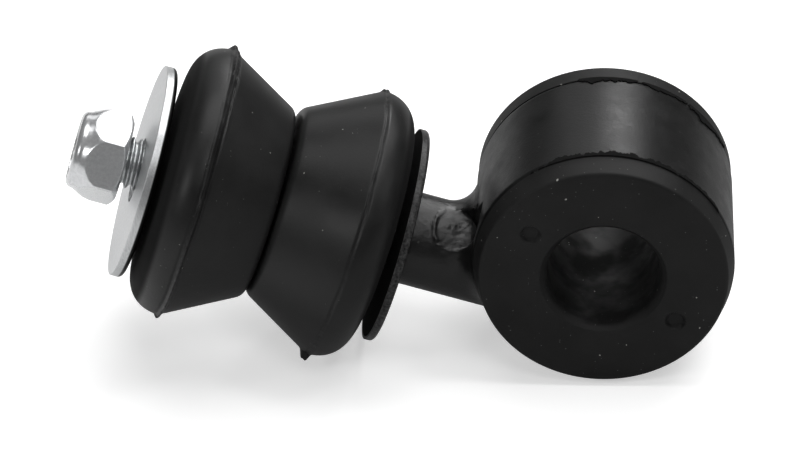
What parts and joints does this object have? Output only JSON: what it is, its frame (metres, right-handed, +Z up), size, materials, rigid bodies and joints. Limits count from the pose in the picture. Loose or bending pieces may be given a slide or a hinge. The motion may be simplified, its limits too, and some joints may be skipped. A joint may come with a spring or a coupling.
{
  "type": "anti-roll bar drop link",
  "caption": "Drop link for an anti-roll bar: a forged eye with a rubber bush, and a stud carrying cone bushes between washers under a lock nut.",
  "frame": {"origin": "middle of the bore of the eye's rubber bush", "axes": "+Y along the bore, from the front face to the back; +Z up as the link lies on a floor; the stud rises towards -X at 18.2 degrees"},
  "size_m": [0.1278, 0.0537, 0.0595],
  "materials": {
    "black_forging": "semi-gloss black paint over a forged skin",
    "bush_rubber": "satin moulded black rubber",
    "black_washer": "black coated pressed steel",
    "cone_rubber": "satin moulded black rubber",
    "zinc_washer": "bright zinc plate, sheared edge",
    "zinc_nut": "bright zinc plate",
    "nylon": "natural nylon"
  },
  "bodies": {
    "link": {"link_forging": "black_forging"},
    "bush": {"eye_bush": "bush_rubber"},
    "inner_washer": {"inner_washer": "black_washer"},
    "inner_cone": {"inner_cone_bush": "cone_rubber"},
    "outer_cone": {"outer_cone_bush": "cone_rubber"},
    "outer_washer": {"outer_washer": "zinc_washer"},
    "nut_thread": {"nut_insert": "nylon"},
    "nut": {"lock_nut": "zinc_nut"}
  },
  "joints": [
    {"name": "nut_travel", "type": "slide", "parent": "link", "child": "nut_thread", "axis": [-0.953, 0, 0.3029], "range_m": [-0.00075, 0.0075]},
    {"name": "inner_washer_slide", "type": "slide", "parent": "link", "child": "inner_washer", "axis": [-0.953, 0, 0.3029], "range_m": [-0.00016, 0.0003]},
    {"name": "inner_cone_slide", "type": "slide", "parent": "inner_washer", "child": "inner_cone", "axis": [-0.953, 0, 0.3029], "range_m": [-0.0006, 0.0003]},
    {"name": "outer_cone_slide", "type": "slide", "parent": "inner_cone", "child": "outer_cone", "axis": [-0.953, 0, 0.3029], "range_m": [-0.00015, 0.0003]},
    {"name": "outer_washer_slide", "type": "slide", "parent": "outer_cone", "child": "outer_washer", "axis": [-0.953, 0, 0.3029], "range_m": [-0.0011, 0.0005]},
    {"name": "nut_spin", "type": "hinge", "parent": "nut_thread", "child": "nut", "pos_m": [-0.09617, 0, 0.01566], "axis": [-0.953, 0, 0.3029], "range_deg": [-180, 1800]},
    {"name": "bush_twist", "type": "hinge", "parent": "link", "child": "bush", "pos_m": [0, 0, 0], "axis": [0, 1, 0], "range_deg": [-10, 10], "stiffness_Nm_per_rad": 75}
  ],
  "couplings": [
    {"joint": "nut_travel", "follows": "nut_spin", "m_per_rad": 0.00023873}
  ]
}
